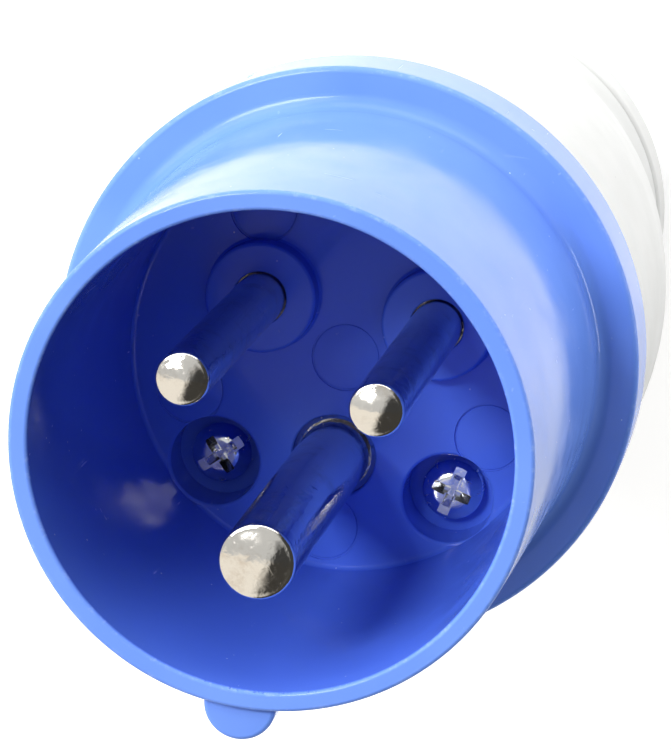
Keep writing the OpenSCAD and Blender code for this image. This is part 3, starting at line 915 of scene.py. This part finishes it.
@dataclass(frozen=True)
class HousingScrew:
    """Pan-head screw with a cross recess and a slot, and a coarse thread on its shank."""

    node: str
    at: tuple[float, float]
    slot_angle: float
    heights: Heights
    head_r: float = 3.05
    shank_r: float = 1.75
    core_r: float = 1.25
    length: float = 24.0
    pitch: float = 1.6

    def threaded(self) -> Shell:
        """Head and shank as one turned grid, its shank swollen by a helical ridge.

        The ridge at height z and angle t is (1 - |2 frac(z / p - t / 2 pi) - 1|)^2 of its depth.
        """
        h = self.heights
        foot = h.seat - self.length
        z = np.linspace(foot + 1.5, h.seat - 2.0, 150)
        shank = np.column_stack([np.full(len(z), self.core_r), z])
        head = rounded([(self.shank_r, h.seat - 1.6, 0), (self.shank_r, h.seat, 0), (self.head_r, h.seat, 0.25),
                        (self.head_r, h.head - 1.0, 0.9), (self.head_r - 1.3, h.head, 1.2), (0, h.head, 0)], 7.0)
        profile = np.concatenate([[[0, foot], [self.core_r * 0.4, foot]], shank, head])
        t = 2 * pi * np.arange(96) / 96
        phase = (profile[:, 1:] / self.pitch - t / (2 * pi)) % 1.0
        ridge = (1 - np.abs(2 * phase - 1)) ** 2 * (self.shank_r - self.core_r)
        fade = np.clip((z - z[0]) / 2, 0, 1) * np.clip((z[-1] - z) / 1.5, 0, 1)
        weight = np.concatenate([[0, 0], fade, np.zeros(len(head))])
        return turn(profile, 96, swell=ridge * weight[:, None])

    def recess(self) -> Shell:
        """Cutter of the cross: two tapering bars across each other."""
        wing = block((4.3, 1.05, 2.1), 0.4).moved(0, 0, self.heights.head + 0.1)
        return gather([wing.turned(0), wing.turned(90)])

    def groove(self) -> Shell:
        """Cutter of the slot across the head."""
        return block((8.0, 1.15, 0.75)).moved(0, 0, self.heights.head + 0.15)

    def build(self, material: bpy.types.Material) -> bpy.types.Object:
        """Turn the screw, cut its drive and dress it."""
        piece = make(self.node + "_turned", self.threaded().turned(self.slot_angle).moved(*self.at))
        for cutter in (self.recess(), self.groove()):
            work_in(piece, cutter.turned(self.slot_angle).moved(*self.at), Cut.TAKE, True)
        smooth(piece, 28)
        return finish_piece(piece, "plug", Slot.ZINC, material, self.node)


@dataclass(frozen=True)
class Handle:
    """Light grey handle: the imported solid, its triangles merged and shaded smooth."""

    def build(self, material: bpy.types.Material) -> bpy.types.Object:
        """Copy the solid and dress it."""
        piece = merged_copy("handle", "handle_moulding", 28)
        return finish_piece(piece, "plug", Slot.GREY, material, "handle")


@dataclass(frozen=True)
class GlandNut:
    """Gland nut with a smooth collar and soft-edged grip ribs."""

    foot_r: float = 20.0
    collar_r: float = 23.4
    height: float = 18.6
    collar_foot: float = 10.6
    rib_rise: float = 1.4
    ribs: int = 24
    rib_w: float = 1.9
    bore_r: float = 18.3
    hole_r: float = 8.8
    floor_t: float = 2.6

    def build(self, material: bpy.types.Material) -> bpy.types.Object:
        """Turn the nut with its ribs as a swelling of the wall, and dress it.

        At the arc length s from a rib's middle the wall stands out by the rise times a
        smooth step that falls from 1 to 0 between 0.32 and 0.62 of the rib's width.
        """
        outer = rounded([(self.hole_r, self.floor_t, 0), (self.hole_r, 0, 0.3), (self.foot_r, 0, 1.4),
                         (self.foot_r, self.collar_foot, 0.8), (self.collar_r, self.collar_foot + 1.1, 0.7),
                         (self.collar_r, self.height, 1.1), (self.bore_r, self.height, 0.4)], 8.0)
        rise = np.linspace(1.5, self.collar_foot - 0.9, 16)
        keep = (outer[:, 0] > self.foot_r - 0.01) & (outer[:, 1] < self.collar_foot - 0.8)
        cut_at = int(np.flatnonzero(keep)[-1]) + 1
        outer = np.concatenate([outer[:cut_at], np.column_stack([np.full(16, self.foot_r), rise]), outer[cut_at:]])
        inner = np.array([[self.bore_r, self.floor_t]])
        profile = np.concatenate([outer, inner])
        n = self.ribs * 24
        t = 2 * pi * np.arange(n) / n
        arc = np.abs((t * self.ribs / (2 * pi) + 0.5) % 1.0 - 0.5) * 2 * pi * self.foot_r / self.ribs
        s = np.clip((arc / self.rib_w - 0.32) / 0.30, 0, 1)
        across = 1 - s * s * (3 - 2 * s)
        z = profile[:, 1]
        on_wall = (profile[:, 0] > self.foot_r - 1.4) & (z < self.collar_foot + 1.2) & (np.arange(len(z)) < len(outer))
        foot = np.clip(z / 1.9, 0, 1) ** 0.6
        head = np.clip((profile[:, 0] - self.foot_r) / self.rib_rise, 0, 1)
        along = np.where(on_wall, foot * (1 - head), 0.0)
        piece = make("gland_nut_ribbed", turn(profile, n, True, self.rib_rise * along[:, None] * across[None, :]))
        smooth(piece)
        return finish_piece(piece, "gland_nut", Slot.GREY, material, "gland_nut")


@dataclass(frozen=True)
class InnerParts:
    """Pieces inside the plug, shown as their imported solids."""

    slots: tuple[tuple[str, Slot], ...] = (
        ("flange_gasket", Slot.RUBBER), ("terminal_block", Slot.BLOCK),
        ("line_terminal_screw", Slot.ZINC), ("neutral_terminal_screw", Slot.ZINC),
        ("earth_terminal_screw", Slot.ZINC), ("line_wire_plate", Slot.BRASS),
        ("neutral_wire_plate", Slot.BRASS), ("earth_wire_plate", Slot.BRASS),
        ("carrier_screw", Slot.ZINC), ("slip_ring", Slot.CLAMP), ("clamp_cage", Slot.CLAMP),
        ("gland_grommet", Slot.RUBBER))

    def build(self, finishes: Finishes) -> None:
        """Dress each solid."""
        for node, slot in self.slots:
            dress_node(node, finishes.of(slot))


# ---------------------------------------------------------------- studio


@dataclass(frozen=True)
class Softbox:
    """Rectangular lamp that faces the plug's middle."""

    name: str
    direction: Colour
    distance: float
    size: tuple[float, float]
    power: float
    colour: Colour = (1.0, 1.0, 1.0)

    def build(self, aim: Vector) -> None:
        """Hang the lamp along its direction from the aim."""
        lamp = bpy.data.lights.new(self.name, "AREA")
        lamp.shape = "RECTANGLE"
        lamp.size, lamp.size_y = self.size
        lamp.energy = self.power
        lamp.color = self.colour
        held = bpy.data.objects.new(self.name, lamp)
        bpy.context.scene.collection.objects.link(held)
        way = Vector(self.direction).normalized()
        held.location = aim + way * self.distance
        held.rotation_mode = "QUATERNION"
        held.rotation_quaternion = way.to_track_quat("Z", "Y")


@dataclass(frozen=True)
class Studio:
    """White floor, pale surroundings that darken to one side, soft lamps and the camera."""

    floor_size: float = 6.0
    floor_glow: float = 0.3
    floor_gloss: float = 0.1
    floor_bounce: float = 0.3
    low_wall: float = 0.95
    high_wall: float = 0.62
    far_wall: float = 0.05
    far_side: Colour = (0.9, -0.3, 0.0)
    warm: Colour = (1.0, 0.955, 0.88)
    eye: Colour = (0.05305, 0.09037, 0.47222)
    back: Colour = (0.1381, 0.2367, 0.9617)
    up: Colour = (-0.1565, 0.9640, -0.2148)
    lens: float = 191.586
    lamps: tuple[Softbox, ...] = (
        Softbox("key", (-0.62, 0.56, 0.55), 1.2, (0.9, 0.9), 9.0),
        Softbox("front", (-0.385, 0.385, 0.84), 1.2, (0.32, 0.32), 9.0),
        Softbox("top", (0.05, 1.0, 0.22), 1.2, (1.0, 0.6), 4.5),
        Softbox("side", (1.0, 0.25, -0.02), 1.2, (0.6, 0.12), 4.5),
    )

    def floor(self) -> None:
        """Level white floor that shows as white and keeps the plug's shadow."""
        half = self.floor_size / 2
        mesh = bpy.data.meshes.new("studio_floor")
        mesh.from_pydata([(-half, -half, 0), (half, -half, 0), (half, half, 0), (-half, half, 0)], [], [(0, 1, 2, 3)])
        piece = bpy.data.objects.new("studio_floor", mesh)
        bpy.context.scene.collection.objects.link(piece)
        g = Graph("studio_floor")
        path = g.node("LightPath")
        clear = g.maths("MAXIMUM", path.outputs["Is Glossy Ray"], path.outputs["Is Transmission Ray"])
        glow = g.maths("ADD", g.maths("MULTIPLY", path.outputs["Is Camera Ray"], self.floor_glow),
                       g.maths("MULTIPLY", clear, self.floor_gloss))
        glow = g.maths("ADD", glow, self.floor_bounce)
        g.surface(Base_Color=(0.8, 0.8, 0.8), Roughness=0.9, Emission_Color=(1.0, 1.0, 1.0),
                  Emission_Strength=glow)
        mesh.materials.append(g.material)
        piece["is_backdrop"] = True

    def surroundings(self) -> None:
        """Pale walls on the left, warmer and brighter low down, and a dim wall on the right.

        The level eases from the near wall's to the far wall's as the direction's share along the
        far side climbs from 0.07 to 0.27, and the near wall's own level changes at the
        direction's y of -0.2. The camera sees plain white.
        """
        world = bpy.data.worlds.new("surroundings")
        bpy.context.scene.world = world
        world.use_nodes = True
        tree = world.node_tree
        tree.nodes.clear()

        def node(kind: str, **inputs: object) -> bpy.types.Node:
            """Add a node of the world, each input a value or another node's output."""
            made = tree.nodes.new("ShaderNode" + kind)
            for key, value in inputs.items():
                socket = made.inputs[key.replace("_", " ")]
                if isinstance(value, bpy.types.NodeSocket):
                    tree.links.new(value, socket)
                else:
                    socket.default_value = value
            return made

        ray = node("TexCoord").outputs["Generated"]
        way = node("SeparateXYZ", Vector=ray)
        across = node("VectorMath")
        across.operation = "DOT_PRODUCT"
        tree.links.new(ray, across.inputs[0])
        across.inputs[1].default_value = self.far_side
        low = node("MapRange", Value=way.outputs[1], From_Min=-0.16, From_Max=-0.24)
        near = node("MapRange", Value=low.outputs[0], To_Min=self.high_wall, To_Max=self.low_wall)
        left = node("MapRange", Value=across.outputs["Value"], From_Min=0.27, From_Max=0.07, To_Min=self.far_wall)
        tree.links.new(near.outputs[0], left.inputs["To Max"])
        tint = node("Mix")
        tint.data_type = "RGBA"
        tree.links.new(low.outputs[0], tint.inputs[0])
        tint.inputs[6].default_value, tint.inputs[7].default_value = (0.97, 0.985, 1.0, 1.0), (*self.warm, 1.0)
        room = node("Background", Color=tint.outputs[2], Strength=left.outputs[0])
        white = node("Background", Color=(1.0, 1.0, 1.0, 1.0), Strength=1.0)
        seen = node("MixShader")
        tree.links.new(node("LightPath").outputs["Is Camera Ray"], seen.inputs[0])
        tree.links.new(room.outputs[0], seen.inputs[1])
        tree.links.new(white.outputs[0], seen.inputs[2])
        tree.links.new(seen.outputs[0], node("OutputWorld").inputs[0])

    def camera(self) -> None:
        """Camera above and a little to one side, rolled so that the key lies below."""
        data = bpy.data.cameras.new("camera")
        data.lens, data.sensor_width = self.lens, 36.0
        data.clip_start, data.clip_end = 0.01, 20.0
        held = bpy.data.objects.new("camera", data)
        bpy.context.scene.collection.objects.link(held)
        back = Vector(self.back).normalized()
        right = Vector(self.up).cross(back).normalized()
        above = back.cross(right)
        turn_in = Matrix((right, above, back)).transposed().to_4x4()
        held.matrix_world = Matrix.Translation(Vector(self.eye)) @ turn_in
        bpy.context.scene.camera = held

    def build(self) -> None:
        """Set the floor, the light and the camera."""
        self.floor()
        self.surroundings()
        low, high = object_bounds()
        for lamp in self.lamps:
            lamp.build((low + high) / 2)
        self.camera()
        bpy.context.scene.view_settings.view_transform = "Standard"


def main() -> None:
    """Build every piece in order, then the studio."""
    logging.basicConfig(level=logging.INFO, format="%(name)s: %(message)s")
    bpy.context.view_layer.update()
    finishes = Finishes()
    places, heights = Places.read(), Heights()
    FrontMoulding(places, heights).build(finishes.of(Slot.BLUE))
    for node, at, radius, root in (("line_pin", places.line, 2.5, heights.boss),
                                   ("neutral_pin", places.neutral, 2.5, heights.boss),
                                   ("earth_pin", places.earth, 3.5, heights.floor)):
        ContactPin(node, at, radius, root, heights).build(finishes.of(Slot.PLATING))
    for node, at, angle in (("housing_screw_left", places.screws[0], 41.0),
                            ("housing_screw_right", places.screws[1], 74.0)):
        HousingScrew(node, at, angle, heights).build(finishes.of(Slot.ZINC))
    RimFlash().build(finishes.of(Slot.BLUE))
    Handle().build(finishes.of(Slot.GREY))
    NeckThread().build(finishes.of(Slot.GREY))
    GlandNut().build(finishes.of(Slot.GREY))
    InnerParts().build(finishes)
    Studio().build()


if __name__ == "__main__":
    main()
